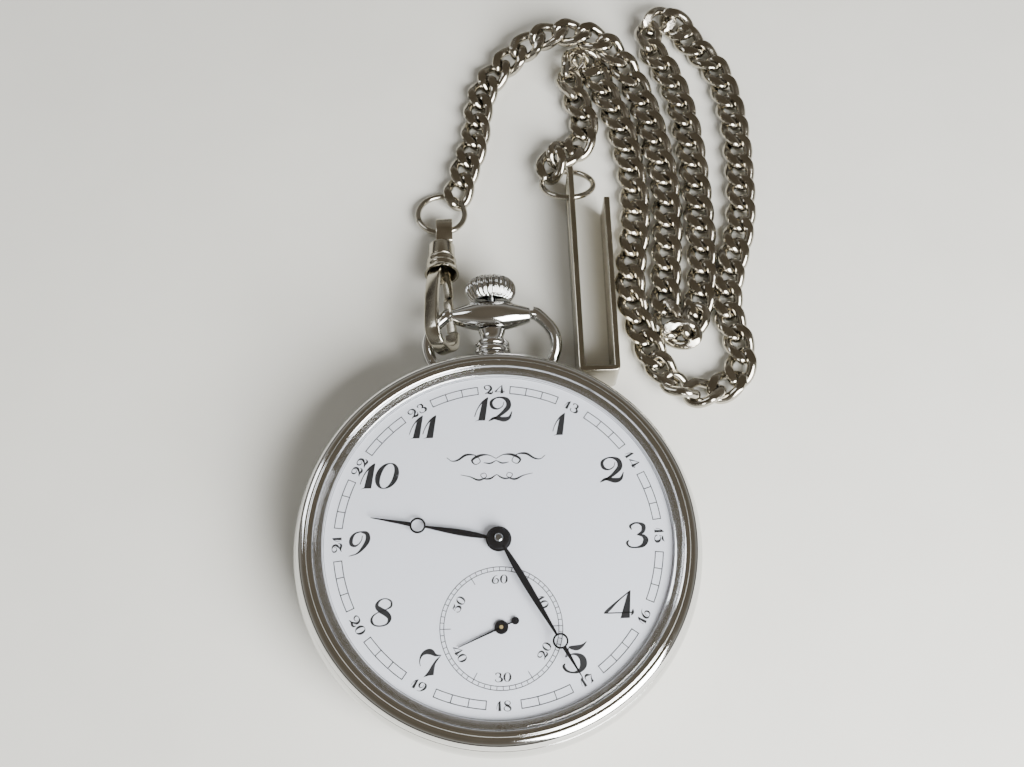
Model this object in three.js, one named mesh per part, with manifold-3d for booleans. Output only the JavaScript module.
// Open-face pocket watch with its curb chain, swivel clasp and belt clip.
// Millimetres. The flat of the case back lies on z = 0, the dial faces +Z and 12 o'clock is +Y.
import * as THREE from 'three';
import { mergeVertices } from 'three/addons/utils/BufferGeometryUtils.js';
import Module from 'manifold-3d';

const wasm = await Module();
wasm.setup();

// ---------- driving dimensions ----------
const CASE_R = 24.25;
const BAND_LOW = 3.5;
const BAND_TOP = 8.5;
const BAND_INNER_R = 21.4;
const BEZEL_TOP = 10.3;
const BEZEL_OPENING_R = 20.5;
const DIAL_R = 20.9;
const DIAL_TOP = 9.0;
const DIAL_THICK = 0.4;
const CRYSTAL_TOP = 12.0;
const CRYSTAL_THICK = 0.8;
const PENDANT_Z = 6.0;
const SEAT_Y = 23.6;
const HEAD_Y = 30.1;
const HEAD_HALF = 4.95;
const STEM_BORE_R = 0.95;
const STEM_R = 0.6;
const CROWN_LOW = 32.0;
const CROWN_TOP = 35.15;
const CROWN_R = 3.3;
const CROWN_FLUTES = 26;
const BOW_PIVOT_Y = 30.4;
const BOW_TILT = THREE.MathUtils.degToRad(25.7);
const BOW_WIRE_R = 0.8;
const SECONDS_Y = -10.17;
const PLATE_R = 18.3;
const PLATE_LOW = 6.9;
const PLATE_TOP = 8.0;
const BRIDGE_LOW = 4.0;
const BRIDGE_TOP = 4.6;
const ROUND = 32;
const SMALL_ROUND = 12;

// Where each wheel of the movement turns, seen from the dial side.
const BARREL_AT = [5.8, 6.5];
const THIRD_AT = [-5.6, -5.5];
const ESCAPE_AT = [5.3, -12.1];
const PALLET_AT = [8.5, -9.6];
const BALANCE_AT = [12.0, -5.2];
const CROWN_WHEEL_AT = [-0.6, 10.9];
const MINUTE_WHEEL_AT = [3.1, 1.93];
const CLICK_AT = [12.6, 10.6];
const PILLARS = [[14.5, 9.2], [-5.6, 14.5], [-14.6, -2.0], [-3.4, -16.2], [16.4, -1.2]];

// Clasp axis: where it crosses the bow wire, how far it leans, and how far its loop is turned.
const CLASP_AT = new THREE.Vector3(-6.35, 29.43, 4.93);
const CLASP_LEAN = THREE.MathUtils.degToRad(11);
const CLASP_TURN = THREE.MathUtils.degToRad(59.3);
const HOOK_HALF = 2.45;
const HOOK_THICK = 0.8;
const HOOK_WIDTH = 1.9;
const HOOK_BEND_Y = -1.1;
const FERRULE_MOUTH = 8.2;
const FERRULE_TOP = 12.9;
const EYE_HOLE_Y = 15.5;

const RING_WIRE_R = 0.4;
const CLIP_HEIGHT = 6.0;
const CLIP_THICK = 0.78;
const CLIP_HOLE = [48.36, 4.0];
const CLIP_RING_AT = [11.1, 51.42, 2.25];
const CLIP_RING_R = 3.53;
const CLIP_RING_TILT = -0.52;
const CHAIN_HALF_WIDTH = 1.75;
const CHAIN_HALF_HEIGHT = 1.0;
const CHAIN_Z = 1.1;

// ---------- materials ----------
function metal(color, roughness, metalness = 1) {
  return new THREE.MeshStandardMaterial({ color, roughness, metalness });
}

const polished = () => metal(0xd9dadb, 0.12);
const nickel = () => metal(0xb3ad9f, 0.3);
const brass = () => metal(0xc9a55a, 0.35);
const rhodium = () => metal(0xc8c9cc, 0.35);
const blackened = () => metal(0x17171a, 0.35, 0.6);
const steel = () => metal(0xa9adb3, 0.25);
const enamel = () => metal(0xe6e9f4, 0.35, 0);
const clearGlass = () => metal(0xf4f8fb, 0.05, 0);

// ---------- shared helpers ----------
const group = new THREE.Group();
group.name = 'pocket_watch';

// Turns a face list the right way out, so that every solid has positive volume.
function outward(geometry) {
  const clean = geometry.clone();
  clean.deleteAttribute('normal');
  clean.deleteAttribute('uv');
  const merged = mergeVertices(clean, 1e-4);
  const at = merged.attributes.position;
  const index = merged.index.array;
  const a = new THREE.Vector3();
  const b = new THREE.Vector3();
  const c = new THREE.Vector3();
  let volume = 0;
  for (let i = 0; i < index.length; i += 3) {
    a.fromBufferAttribute(at, index[i]);
    b.fromBufferAttribute(at, index[i + 1]);
    c.fromBufferAttribute(at, index[i + 2]);
    volume += a.dot(b.cross(c));
  }
  if (volume < 0) {
    for (let i = 0; i < index.length; i += 3) {
      [index[i + 1], index[i + 2]] = [index[i + 2], index[i + 1]];
    }
  }
  return merged;
}

function toManifold(geometry) {
  const solid = outward(geometry);
  return new wasm.Manifold(new wasm.Mesh({
    numProp: 3,
    vertProperties: new Float32Array(solid.attributes.position.array),
    triVerts: new Uint32Array(solid.index.array),
  }));
}

function fromManifold(solid) {
  const mesh = solid.getMesh();
  const geometry = new THREE.BufferGeometry();
  geometry.setAttribute('position', new THREE.BufferAttribute(mesh.vertProperties, 3));
  geometry.setIndex(new THREE.BufferAttribute(mesh.triVerts, 1));
  return geometry;
}

function cut(base, ...tools) {
  return fromManifold(tools.reduce((left, tool) => left.subtract(toManifold(tool)), toManifold(base)));
}

function join(base, ...others) {
  return fromManifold(others.reduce((sum, other) => sum.add(toManifold(other)), toManifold(base)));
}

function add(name, geometry, material) {
  const solid = outward(geometry);
  solid.computeVertexNormals();
  const mesh = new THREE.Mesh(solid, material);
  mesh.name = name;
  group.add(mesh);
  return mesh;
}

// A turned piece from [radius, height] pairs, standing along 'x', 'y' or 'z'.
function turned(profile, segments = ROUND, axis = 'z') {
  const geometry = new THREE.LatheGeometry(profile.map(([r, h]) => new THREE.Vector2(r, h)), segments);
  if (axis === 'z') geometry.rotateX(Math.PI / 2);
  if (axis === 'x') geometry.rotateZ(-Math.PI / 2);
  return geometry;
}

function disc(radius, low, high, segments = ROUND, axis = 'z') {
  return turned([[0, low], [radius, low], [radius, high], [0, high]], segments, axis);
}

function ring(inner, outer, low, high, segments = ROUND, axis = 'z') {
  return turned([[inner, low], [outer, low], [outer, high], [inner, high], [inner, low]], segments, axis);
}

function slab(shape, low, high) {
  const geometry = new THREE.ExtrudeGeometry(shape, {
    depth: high - low, bevelEnabled: false, curveSegments: 8,
  });
  return geometry.translate(0, 0, low);
}

// A closed outline, always drawn anticlockwise so that holes cut through it properly.
function polygon(points) {
  const outline = points.map(([x, y]) => new THREE.Vector2(x, y));
  return new THREE.Shape(THREE.ShapeUtils.isClockWise(outline) ? outline.reverse() : outline);
}

function roundHole(x, y, radius, count = SMALL_ROUND) {
  const hole = new THREE.Path();
  for (let i = 0; i <= count; i += 1) {
    const angle = (-2 * Math.PI * i) / count;
    const at = [x + radius * Math.cos(angle), y + radius * Math.sin(angle)];
    if (i === 0) hole.moveTo(...at);
    else hole.lineTo(...at);
  }
  return hole;
}

// Outline of a toothed wheel, with windows between its arms.
function wheel(teeth, tip, depth, bore, arms = 0, hubR = 0, rimR = 0) {
  const points = [];
  const pitch = (2 * Math.PI) / teeth;
  for (let i = 0; i < teeth; i += 1) {
    for (const [part, radius] of [[0, tip - depth], [0.35, tip], [0.65, tip]]) {
      const angle = (i + part) * pitch;
      points.push([radius * Math.cos(angle), radius * Math.sin(angle)]);
    }
  }
  const shape = polygon(points);
  if (bore > 0) shape.holes.push(roundHole(0, 0, bore, 12));
  const armHalf = 0.35;
  for (let i = 0; i < arms; i += 1) {
    const start = (i * 2 * Math.PI) / arms;
    const end = ((i + 1) * 2 * Math.PI) / arms;
    const window = [];
    for (const [radius, from, to] of [[rimR, start, end], [hubR, end, start]]) {
      const inset = Math.sign(to - from) * Math.asin(armHalf / radius);
      for (let k = 0; k <= 2; k += 1) {
        const angle = from + inset + ((to - from - 2 * inset) * k) / 2;
        window.push(new THREE.Vector2(radius * Math.cos(angle), radius * Math.sin(angle)));
      }
    }
    shape.holes.push(new THREE.Path(window));
  }
  return shape;
}

// A flat strip bent along a centre line, as an outline with constant thickness.
function stripOutline(line, thick) {
  const left = [];
  const right = [];
  line.forEach((point, i) => {
    const before = line[Math.max(i - 1, 0)];
    const after = line[Math.min(i + 1, line.length - 1)];
    const inward = new THREE.Vector2(point[0] - before[0], point[1] - before[1]).normalize();
    const onward = new THREE.Vector2(after[0] - point[0], after[1] - point[1]).normalize();
    const along = inward.clone().add(onward).normalize();
    const lean = i === 0 || i === line.length - 1 ? 1 : along.dot(onward);
    const half = thick / 2 / lean;
    left.push([point[0] - along.y * half, point[1] + along.x * half]);
    right.push([point[0] + along.y * half, point[1] - along.x * half]);
  });
  return polygon([...left, ...right.reverse()]);
}

function tube(points, section, steps) {
  const path = new THREE.CatmullRomCurve3(points.map((p) => new THREE.Vector3(...p)), false, 'centripetal');
  return new THREE.ExtrudeGeometry(section, { extrudePath: path, steps, bevelEnabled: false });
}

function roundSection(radius, sides) {
  const points = [];
  for (let i = 0; i < sides; i += 1) {
    const angle = (2 * Math.PI * (i + 0.5)) / sides;
    points.push([radius * Math.cos(angle), radius * Math.sin(angle)]);
  }
  return polygon(points);
}

// ---------- case ----------
function caseBand() {
  const body = turned([
    [BAND_INNER_R, BAND_LOW], [23.7, BAND_LOW], [24.1, 4.3], [CASE_R, 5.4], [CASE_R, 6.6],
    [24.1, 7.7], [23.7, BAND_TOP], [BAND_INNER_R, BAND_TOP], [BAND_INNER_R, BAND_LOW],
  ]);
  const pendantSeat = disc(2.3, SEAT_Y, 26, 24, 'y').translate(0, 0, PENDANT_Z);
  const stemHole = disc(STEM_BORE_R, 20, 26, SMALL_ROUND, 'y').translate(0, 0, PENDANT_Z);
  return cut(body, pendantSeat, stemHole);
}

function caseBack() {
  return turned([
    [0, 0], [13, 0], [16, 0.7], [18.5, 1.9], [20, 2.75], [21.5, 3.15], [23.4, BAND_LOW],
    [19.3, BAND_LOW], [17.9, 2.6], [15.5, 1.45], [12.6, 0.8], [0, 0.8],
  ]);
}

function bezel() {
  return turned([
    [BEZEL_OPENING_R, 9.1], [21.3, 9.1], [21.3, BAND_TOP], [23.7, BAND_TOP], [23.65, 9.3], [23.2, 9.9],
    [22.6, 10.2], [22.0, BEZEL_TOP], [21.7, 10.2], [21.5, 9.85], [BEZEL_OPENING_R, 9.6],
    [BEZEL_OPENING_R, 9.1],
  ]);
}

// The glass rests on the bezel's inner ledge and domes over the hands.
function crystal() {
  const edgeR = 21.4;
  const edgeLow = 9.87;
  const rows = 6;
  const outer = [];
  const inner = [];
  for (let i = 0; i <= rows; i += 1) {
    const share = i / rows;
    const rise = Math.cos((share * Math.PI) / 2) ** 0.75;
    outer.push([edgeR * share, edgeLow + 0.5 + (CRYSTAL_TOP - edgeLow - 0.5) * rise]);
    inner.push([edgeR * share, edgeLow + (CRYSTAL_TOP - CRYSTAL_THICK - edgeLow) * rise]);
  }
  return turned([...inner, ...outer.reverse()]);
}

function pendantNeck() {
  return turned([
    [STEM_BORE_R, SEAT_Y], [2.15, SEAT_Y], [2.0, 24.3], [1.95, 24.5], [2.35, 24.7], [2.4, 24.97],
    [2.3, 25.25], [1.85, 25.45], [2.15, 25.7], [2.25, 25.95], [2.15, 26.2], [1.6, 26.4], [1.5, 26.8],
    [1.5, 27.2], [1.75, 27.85], [STEM_BORE_R, 27.85], [STEM_BORE_R, SEAT_Y],
  ], 20, 'y').translate(0, 0, PENDANT_Z);
}

// The pendant's spindle-shaped head: the bow's ends turn in its two end holes, and the crown sits in its saddle.
function pendantHead() {
  const spindle = turned([
    [0, -HEAD_HALF], [0.95, -HEAD_HALF], [1.2, -4.2], [1.6, -3.0], [1.95, -1.6], [2.05, 0],
    [1.95, 1.6], [1.6, 3.0], [1.2, 4.2], [0.95, HEAD_HALF], [0, HEAD_HALF],
  ], 20, 'x').translate(0, HEAD_Y, PENDANT_Z);
  const stemHole = disc(STEM_BORE_R, 27, 33, SMALL_ROUND, 'y').translate(0, 0, PENDANT_Z);
  const pinHoles = [-1, 1].map((side) => disc(0.65, side > 0 ? 3.6 : -6, side > 0 ? 6 : -3.6, 12, 'x')
    .translate(0, BOW_PIVOT_Y, PENDANT_Z));
  const flat = disc(2.6, 27, 28.2, 20, 'y').translate(0, 0, PENDANT_Z);
  const saddle = disc(2.5, 31.65, 33, 20, 'y').translate(0, 0, PENDANT_Z);
  return cut(spindle, stemHole, flat, saddle, ...pinHoles);
}

// ---------- crown and stem ----------
function crown() {
  const rows = [
    [2.2, CROWN_LOW, 0], [2.6, 32.3, 0.2], [3.1, 32.9, 0.3], [CROWN_R, 33.6, 0.3],
    [3.15, 34.3, 0.3], [2.5, 34.9, 0.25], [1.2, CROWN_TOP, 0],
  ];
  const sides = CROWN_FLUTES * 2;
  const positions = [];
  const index = [];
  rows.forEach(([radius, y, depth]) => {
    for (let i = 0; i < sides; i += 1) {
      const angle = (2 * Math.PI * i) / sides;
      const r = radius - (i % 2 ? depth : 0);
      positions.push(r * Math.cos(angle), y, r * Math.sin(angle));
    }
  });
  for (let row = 0; row < rows.length - 1; row += 1) {
    for (let i = 0; i < sides; i += 1) {
      const a = row * sides + i;
      const b = row * sides + ((i + 1) % sides);
      index.push(a, b, a + sides, b, b + sides, a + sides);
    }
  }
  const low = positions.length / 3;
  positions.push(0, CROWN_LOW, 0, 0, CROWN_TOP, 0);
  const last = (rows.length - 1) * sides;
  for (let i = 0; i < sides; i += 1) {
    const next = (i + 1) % sides;
    index.push(low, next, i, low + 1, last + i, last + next);
  }
  const geometry = new THREE.BufferGeometry();
  geometry.setAttribute('position', new THREE.Float32BufferAttribute(positions, 3));
  geometry.setIndex(index);
  return geometry.translate(0, 0, PENDANT_Z);
}

function windingStem() {
  return turned([
    [0, 12.9], [0.35, 12.9], [0.35, 17.0], [STEM_R, 17.0], [STEM_R, CROWN_LOW], [0, CROWN_LOW],
  ], 12, 'y').translate(0, 0, PENDANT_Z);
}

// Slides on the stem's square end, so it turns with the crown but isn't pulled out with it.
function windingPinion() {
  const slots = wheel(12, 1.65, 0.35, 0.6);
  return slab(slots, 14.2, 16.0).rotateX(-Math.PI / 2).translate(0, 0, PENDANT_Z);
}

// ---------- bow ----------
// Half of the bow's centre line: [distance from the middle, distance from the pivot line].
const BOW_HALF = [
  [5.25, 0], [5.7, 0.12], [6.2, 0.5], [6.75, 1.0], [7.4, 1.7], [7.95, 2.6], [8.25, 3.85], [8.1, 5.15],
  [7.5, 6.45], [6.5, 7.6], [5.2, 8.6], [3.5, 9.3], [1.8, 9.65],
];

function bow() {
  const right = BOW_HALF.map(([x, s]) => [x, -s, 0]);
  const left = BOW_HALF.map(([x, s]) => [-x, -s, 0]).reverse();
  const wire = tube([...right, [0, -9.75, 0], ...left], roundSection(BOW_WIRE_R, 8), 32);
  const pins = [[4.0, 5.6], [-5.6, -4.0]].map(([from, to]) => disc(0.4, from, to, 12, 'x'));
  return join(wire, ...pins).rotateX(BOW_TILT).translate(0, BOW_PIVOT_Y, PENDANT_Z);
}

// ---------- dial and hands ----------
function dial() {
  const plate = new THREE.Shape();
  plate.absarc(0, 0, DIAL_R, 0, 2 * Math.PI);
  plate.holes.push(roundHole(0, 0, 1.1), roundHole(0, SECONDS_Y, 0.55));
  return new THREE.ExtrudeGeometry(plate, { depth: DIAL_THICK, bevelEnabled: false, curveSegments: ROUND })
    .translate(0, 0, DIAL_TOP - DIAL_THICK);
}

// A hand with a ring near its tip. It points along +Y before it is turned to its hour.
function ringHand(length, ringAt, ringR, holeR, hubR, boreR, thick) {
  const points = [];
  const hubSteps = 14;
  const rootHalf = 0.3;
  const hubStart = Math.asin(rootHalf / hubR);
  for (let i = 0; i <= hubSteps; i += 1) {
    const angle = Math.PI / 2 + hubStart + ((2 * Math.PI - 2 * hubStart) * i) / hubSteps;
    points.push([hubR * Math.cos(angle), hubR * Math.sin(angle)]);
  }
  points.push([0.48, ringAt * 0.45], [0.24, ringAt - ringR]);
  const ringSteps = 8;
  const ringStart = Math.asin(0.3 / ringR);
  for (let i = 0; i <= ringSteps; i += 1) {
    const angle = -Math.PI / 2 + ringStart + ((Math.PI - 2 * ringStart) * i) / ringSteps;
    points.push([ringR * Math.cos(angle), ringAt + ringR * Math.sin(angle)]);
  }
  points.push([0.36, ringAt + ringR + 0.7], [0.06, length]);
  const mirrored = points.slice(hubSteps + 1).reverse().map(([x, y]) => [-x, y]);
  const shape = polygon([...points, ...mirrored]);
  shape.holes.push(roundHole(0, ringAt, holeR, 12), roundHole(0, 0, boreR, 12));
  return slab(shape, 0, thick);
}

function secondsHand() {
  const points = [];
  const arc = (y, radius, from, to, steps) => {
    for (let i = 0; i <= steps; i += 1) {
      const angle = from + ((to - from) * i) / steps;
      points.push([radius * Math.cos(angle), y + radius * Math.sin(angle)]);
    }
  };
  const half = Math.PI / 2;
  arc(0, 0.8, half - 0.2, -half + 0.25, 8);
  arc(-1.75, 0.45, half - 0.45, -3 * half + 0.45, 10);
  arc(0, 0.8, -half - 0.25, -3 * half + 0.2, 8);
  points.push([-0.06, 5.4], [0.06, 5.4]);
  const shape = polygon(points);
  shape.holes.push(roundHole(0, 0, 0.25, 12));
  return slab(shape, 0, 0.15);
}

function clockAngle(degrees) {
  return -THREE.MathUtils.degToRad(degrees);
}

// ---------- movement ----------
function placed(geometry, [x, y]) {
  return geometry.translate(x, y, 0);
}

// Carries the plate and the dial, and lets the stem through on the crown's side.
function movementRing() {
  const body = ring(PLATE_R + 0.3, BAND_INNER_R - 0.2, BAND_LOW, DIAL_TOP - DIAL_THICK);
  return cut(body, disc(1.0, 16, 24, 12, 'y').translate(0, 0, PENDANT_Z));
}

function mainPlate() {
  const shape = new THREE.Shape();
  const notch = Math.asin(2.1 / PLATE_R);
  const steps = ROUND;
  for (let i = 0; i <= steps; i += 1) {
    const angle = Math.PI / 2 + notch + ((2 * Math.PI - 2 * notch) * i) / steps;
    const at = [PLATE_R * Math.cos(angle), PLATE_R * Math.sin(angle)];
    if (i === 0) shape.moveTo(...at);
    else shape.lineTo(...at);
  }
  shape.lineTo(2.1, 13.6);
  shape.lineTo(-2.1, 13.6);
  shape.holes.push(roundHole(0, 0, 0.5), roundHole(0, SECONDS_Y, 0.5));
  const plate = slab(shape, PLATE_LOW, PLATE_TOP);
  const pillars = PILLARS.map(([x, y]) => placed(disc(1.1, BRIDGE_TOP, PLATE_LOW + 0.4, 12), [x, y]));
  return join(plate, ...pillars);
}

function bridge(outline, screwHoles, pivotHoles) {
  const shape = polygon(outline);
  screwHoles.forEach(([x, y]) => shape.holes.push(roundHole(x, y, 0.65, 12)));
  pivotHoles.forEach(([x, y]) => shape.holes.push(roundHole(x, y, 0.4, 12)));
  return slab(shape, BRIDGE_LOW, BRIDGE_TOP);
}

function bridgeScrew(at) {
  const head = [[0, 3.55], [0.95, 3.55], [0.95, BRIDGE_LOW], [0.45, BRIDGE_LOW], [0.45, 4.55], [0, 4.55]];
  const slot = new THREE.BoxGeometry(3, 0.25, 0.4).translate(0, 0, 3.6);
  return placed(cut(turned(head, 12), slot), at);
}

function movingWheel(outline, low, high, pinion, arbor) {
  const plate = slab(outline, low, high);
  return join(plate, disc(pinion[0], pinion[1], pinion[2], 12), disc(arbor[0], arbor[1], arbor[2], 12));
}

function balanceWheel() {
  const rim = ring(3.8, 4.4, 6.05, 6.5, 32);
  const arm = new THREE.BoxGeometry(8, 0.7, 0.35).translate(0, 0, 6.28);
  return join(rim, arm, disc(0.3, 4.7, 6.8, 12), disc(0.8, 5.7, 5.95, 12));
}

function hairspring() {
  const line = [];
  const turns = 4;
  const steps = 44;
  for (let i = 0; i <= steps; i += 1) {
    const angle = (2 * Math.PI * turns * i) / steps;
    const radius = 0.6 + (1.9 * i) / steps;
    line.push([radius * Math.cos(angle), radius * Math.sin(angle)]);
  }
  return slab(stripOutline(line, 0.12), 4.85, 5.1);
}

function palletFork() {
  const shape = polygon([
    [-2.2, -0.45], [-1.7, -1.2], [-1.3, -1.1], [-1.4, -0.3], [0, -0.35], [1.4, -0.3], [1.3, -1.1],
    [1.7, -1.2], [2.2, -0.45], [1.8, 0.1], [0.3, 0.35], [0.2, 3.0], [0.5, 3.6], [0.25, 3.7], [0, 3.3],
    [-0.25, 3.7], [-0.5, 3.6], [-0.2, 3.0], [-0.3, 0.35], [-1.8, 0.1],
  ]);
  const fork = join(slab(shape, 5.2, 5.45), disc(0.3, 5.1, 6.6, 12));
  const towardsBalance = Math.atan2(BALANCE_AT[1] - PALLET_AT[1], BALANCE_AT[0] - PALLET_AT[0]);
  return placed(fork.rotateZ(towardsBalance - Math.PI / 2), PALLET_AT);
}

// ---------- clasp ----------
function inClasp(geometry) {
  geometry.rotateY(CLASP_TURN);
  geometry.rotateX(-CLASP_LEAN);
  return geometry.translate(CLASP_AT.x, CLASP_AT.y, CLASP_AT.z);
}

function hookLine() {
  const line = [[-0.7, 10.9], [-0.7, 9.4], [-1.15, FERRULE_MOUTH], [-1.9, 6.4], [-2.3, 4.2], [-HOOK_HALF, 1.6]];
  const steps = 8;
  for (let i = 0; i <= steps; i += 1) {
    const angle = Math.PI + (Math.PI * i) / steps;
    line.push([HOOK_HALF * Math.cos(angle), HOOK_BEND_Y + HOOK_HALF * Math.sin(angle)]);
  }
  line.push([HOOK_HALF, -0.15]);
  return line;
}

function strip(line, thick, width) {
  return slab(stripOutline(line, thick), -width / 2, width / 2);
}

function claspFerrule() {
  return turned([
    [0.85, FERRULE_TOP], [1.65, FERRULE_TOP], [1.78, 12.7], [1.78, 10.85], [1.72, 10.7], [1.98, 10.45],
    [1.98, 10.25], [1.8, 10.0], [1.8, 9.8], [2.08, 9.5], [2.08, 9.3], [1.95, 9.0], [2.15, 8.7],
    [2.3, FERRULE_MOUTH], [1.98, FERRULE_MOUTH], [1.6, 9.1], [1.5, 11.3], [0.85, 11.8], [0.85, FERRULE_TOP],
  ], 18, 'y');
}

// The eye's stem runs through the ferrule's closed end and is headed over inside it.
function claspEye() {
  const pin = turned([[0, 11.0], [1.1, 11.0], [1.1, 11.2], [0.6, 11.4], [0.6, 14.4], [0, 14.4]], 12, 'y');
  const tab = polygon([
    [-0.75, 13.4], [0.75, 13.4], [1.2, 14.2], [1.5, 15.2], [1.5, 16.0], [1.15, 16.8], [0.5, 17.2],
    [-0.5, 17.2], [-1.15, 16.8], [-1.5, 16.0], [-1.5, 15.2], [-1.2, 14.2],
  ]);
  tab.holes.push(roundHole(0, EYE_HOLE_Y + 0.2, 0.95, 12));
  const plate = slab(tab, -0.7, 1.5).rotateY(Math.PI / 2 - CLASP_TURN);
  return join(pin, plate);
}

// ---------- rings, chain and belt clip ----------
function wireRing(meanR, at, tiltX, tiltY) {
  const geometry = new THREE.TorusGeometry(meanR, RING_WIRE_R, 6, 20);
  return geometry.rotateY(tiltY).rotateX(tiltX).translate(...at);
}

function chainRun(points, steps) {
  const corner = 0.45;
  const section = polygon([
    [CHAIN_HALF_HEIGHT * corner, CHAIN_HALF_WIDTH], [CHAIN_HALF_HEIGHT, CHAIN_HALF_WIDTH * corner],
    [CHAIN_HALF_HEIGHT, -CHAIN_HALF_WIDTH * corner], [CHAIN_HALF_HEIGHT * corner, -CHAIN_HALF_WIDTH],
    [-CHAIN_HALF_HEIGHT * corner, -CHAIN_HALF_WIDTH], [-CHAIN_HALF_HEIGHT, -CHAIN_HALF_WIDTH * corner],
    [-CHAIN_HALF_HEIGHT, CHAIN_HALF_WIDTH * corner], [-CHAIN_HALF_HEIGHT * corner, CHAIN_HALF_WIDTH],
  ]);
  return tube(points.map(([x, y, z = CHAIN_Z]) => [x, y, z]), section, steps);
}

const CHAIN_FROM_CLASP = [
  [-3.5, 51.5], [-3.1, 54.2], [-1.6, 58.7], [-0.9, 64.6], [0.9, 69.5], [4.9, 73.4, 1.8],
  [9.0, 75.3, 3.6], [13.5, 75.5, 4.0], [17.6, 73.8, 3.7], [20.4, 71.0, 1.7], [22.7, 65], [24.2, 58], [24.8, 51],
  [24.5, 44], [23.9, 38], [23.4, 33], [23.4, 30.6],
];
const CHAIN_SECOND_RUN = [
  [27.4, 31.4], [28.4, 36], [29.1, 44], [29.1, 52], [28.6, 60], [27.4, 67.6], [24.9, 73.2], [24.0, 76.4],
  [24.6, 78.6], [25.5, 79.6], [26.4, 79.9],
];
const CHAIN_THIRD_RUN = [
  [28.4, 79.9], [29.2, 79.4], [29.8, 78.0], [30.6, 75.0], [32.9, 72.6], [34.6, 67], [35.4, 60], [35.4, 52],
  [34.4, 44], [32.6, 37], [31.9, 32], [32.9, 27], [32.3, 23.4], [29.5, 21.1], [26.4, 20.4], [23.6, 21.4],
  [21.4, 24.6], [19.8, 29], [18.9, 34], [19.4, 41], [20.3, 48], [20.1, 55], [19.0, 62], [17.0, 68.2],
  [16.4, 71.2],
];
const CHAIN_TO_CLIP = [
  [12.3, 71.2], [12.1, 69], [12.8, 66.5], [14.1, 62.6], [13.9, 59.4], [12.9, 57.9], [11.4, 57.0],
  [10.0, 56.6, 1.7], [9.0, 55.7, 2.5], [8.7, 54.6, 3.1],
];
const TURNED_LINKS = [[25.4, 27.4, 2.0], [14.3, 73.2, 1.5]];

function turnedLink([x, y, radius]) {
  return placed(disc(radius, CHAIN_Z - CHAIN_HALF_HEIGHT, CHAIN_Z + CHAIN_HALF_HEIGHT, 12), [x, y]);
}

function beltClip() {
  const line = [[11.3, 52.0], [11.3, 22.8], [11.5, 22.6], [15.6, 22.6], [15.8, 22.8], [15.95, 47.2]];
  const bent = slab(stripOutline(line, CLIP_THICK), 0, CLIP_HEIGHT);
  const [holeY, holeZ] = CLIP_HOLE;
  return cut(bent, disc(0.75, 10, 12.6, 12, 'x').translate(0, holeY, holeZ));
}

// ---------- assembly ----------
add('case_back', caseBack(), polished());
add('case_band', caseBand(), polished());
add('bezel', bezel(), polished());
add('crystal', crystal(), clearGlass());
add('pendant_neck', pendantNeck(), polished());
add('pendant_head', pendantHead(), polished());
add('dial', dial(), enamel());
add('movement_ring', movementRing(), brass());

add('crown', crown(), polished());
add('winding_stem', windingStem(), steel());
add('winding_pinion', windingPinion(), steel());
add('bow', bow(), polished());

add('hour_hand', ringHand(15.2, 9.6, 0.95, 0.72, 1.5, 0.8, 0.2)
  .rotateZ(clockAngle(281.3)).translate(0, 0, 9.5), blackened());
add('minute_hand', ringHand(18.6, 13.75, 0.9, 0.68, 1.3, 0.53, 0.2)
  .rotateZ(clockAngle(151.3)).translate(0, 0, 10.0), blackened());
add('seconds_hand', placed(secondsHand().rotateZ(clockAngle(246.7)), [0, SECONDS_Y])
  .translate(0, 0, 9.15), blackened());

add('main_plate', mainPlate(), rhodium());
add('barrel_bridge', bridge(
  [[-7.4, 13.4], [-2.8, 8.4], [1.5, 5.9], [2.6, 1.9], [8.4, -0.6], [14.0, 2.2], [15.8, 7.2], [15.4, 9.4],
    [12.6, 12.0], [8.0, 15.2], [2.8, 15.9], [2.5, 13.8], [-2.5, 13.8], [-2.8, 15.9], [-6.4, 15.9]],
  [PILLARS[0], PILLARS[1]], [BARREL_AT],
), rhodium());
add('train_bridge', bridge(
  [[-16.0, -1.2], [-14.0, 0.2], [0.2, 1.6], [1.4, 0.2], [1.3, -8.6], [6.6, -11.6], [5.8, -13.6], [0, -14.2],
    [-2.0, -17.4], [-4.6, -17.2], [-9.6, -12.6], [-15.4, -4.2]],
  [PILLARS[2], PILLARS[3]], [[0, 0], [0, SECONDS_Y], THIRD_AT, ESCAPE_AT],
), rhodium());
add('balance_cock', bridge(
  [[10.6, -6.2], [11.2, -4.0], [15.0, -0.2], [16.6, 0.2], [17.5, -1.6], [13.6, -5.6], [12.4, -6.6]],
  [PILLARS[4]], [BALANCE_AT],
), rhodium());
PILLARS.forEach((at, i) => add(`bridge_screw_${i + 1}`, bridgeScrew(at), steel()));

add('mainspring_barrel', placed(movingWheel(
  wheel(44, 7.6, 0.45, 0), 5.0, 5.9, [7.0, 4.85, 6.05], [0.35, BRIDGE_TOP + 0.1, 6.8],
), BARREL_AT), brass());
add('ratchet_wheel', placed(join(
  slab(wheel(34, 4.6, 0.4, 0), 3.35, 3.8), disc(0.3, 3.6, BRIDGE_TOP, 12),
), BARREL_AT), steel());
add('crown_wheel', placed(slab(wheel(22, 2.95, 0.4, 0), 3.35, 3.8), CROWN_WHEEL_AT), steel());
add('click', placed(slab(polygon([[-2.3, -2.1], [-1.7, -2.35], [0.8, -0.6], [0.9, 0.6], [0, 0.9], [-0.8, 0.3]]),
  3.35, 3.8), CLICK_AT), steel());

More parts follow.
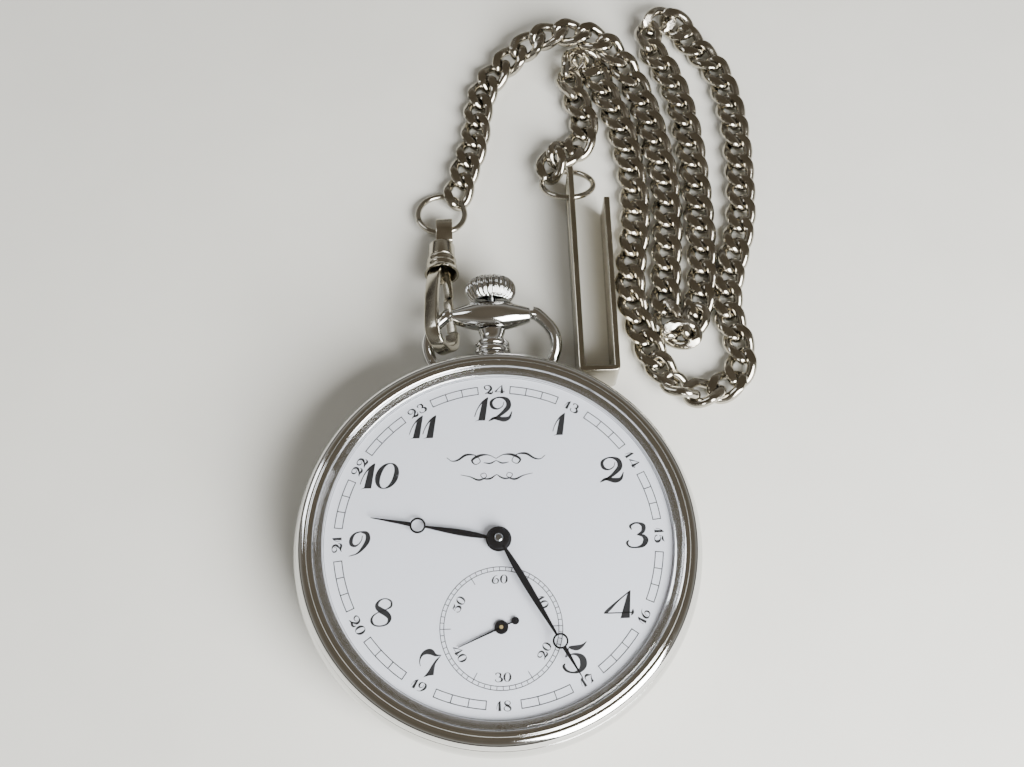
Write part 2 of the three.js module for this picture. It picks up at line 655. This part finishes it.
add('centre_wheel', movingWheel(
  wheel(32, 6.9, 0.4, 0, 5, 1.6, 5.9), 6.2, 6.45, [0.95, 4.9, 6.3], [0.25, 4.65, 9.95],
), brass());
add('cannon_pinion', turned([
  [0.3, 8.08], [0.86, 8.08], [0.86, 8.26], [0.5, 8.26], [0.5, 10.35], [0.42, 10.5], [0.3, 10.5], [0.3, 8.08],
], 12), steel());
add('hour_wheel', join(
  slab(wheel(24, 2.85, 0.3, 0.62), 8.34, 8.5), ring(0.6, 0.78, 8.34, 9.72, 16),
), brass());
add('minute_wheel', placed(join(
  slab(wheel(24, 2.65, 0.3, 0), 8.08, 8.22), disc(0.7, 8.15, 8.5, 12),
), MINUTE_WHEEL_AT), brass());
add('third_wheel', placed(movingWheel(
  wheel(30, 6.3, 0.4, 0, 5, 1.4, 5.3), 5.2, 5.45, [0.84, 6.1, 6.6], [0.25, 4.65, 6.8],
), THIRD_AT), brass());
add('fourth_wheel', placed(movingWheel(
  wheel(40, 4.95, 0.35, 0, 5, 1.2, 4.0), 5.75, 5.95, [0.84, 5.05, 5.85], [0.22, 4.65, 9.4],
), [0, SECONDS_Y]), brass());
add('escape_wheel', placed(movingWheel(
  wheel(15, 2.6, 0.6, 0, 4, 0.8, 1.7), 5.2, 5.4, [0.48, 5.35, 6.1], [0.22, 4.65, 6.8],
), ESCAPE_AT), steel());
add('pallet_fork', palletFork(), steel());
add('balance_wheel', placed(balanceWheel(), BALANCE_AT), brass());
add('hairspring', placed(hairspring(), BALANCE_AT), steel());

add('clasp_hook', inClasp(strip(hookLine(), HOOK_THICK, HOOK_WIDTH)), nickel());
add('clasp_gate', inClasp(strip(
  [[0.85, 10.4], [0.95, 9.0], [1.25, 7.9], [1.75, 5.4], [1.55, 4.6], [2.0, 2.4], [2.4, 0.25]], 0.5, 1.3,
)), nickel());
add('clasp_ferrule', inClasp(claspFerrule()), nickel());
add('clasp_eye', inClasp(claspEye()), nickel());
add('clasp_ring', wireRing(3.2, [-6.35, 47.72, 1.2], -0.2, 0), nickel());

add('chain_run_1', chainRun(CHAIN_FROM_CLASP, 32), nickel());
add('chain_turned_link_1', turnedLink(TURNED_LINKS[0]), nickel());
add('chain_run_2', chainRun(CHAIN_SECOND_RUN, 16), nickel());
add('chain_run_3', chainRun(CHAIN_THIRD_RUN, 34), nickel());
add('chain_turned_link_2', turnedLink(TURNED_LINKS[1]), nickel());
add('chain_run_4', chainRun(CHAIN_TO_CLIP, 14), nickel());
add('clip_ring', wireRing(CLIP_RING_R, CLIP_RING_AT, CLIP_RING_TILT, 0), nickel());
add('belt_clip', beltClip(), nickel());

export default group;
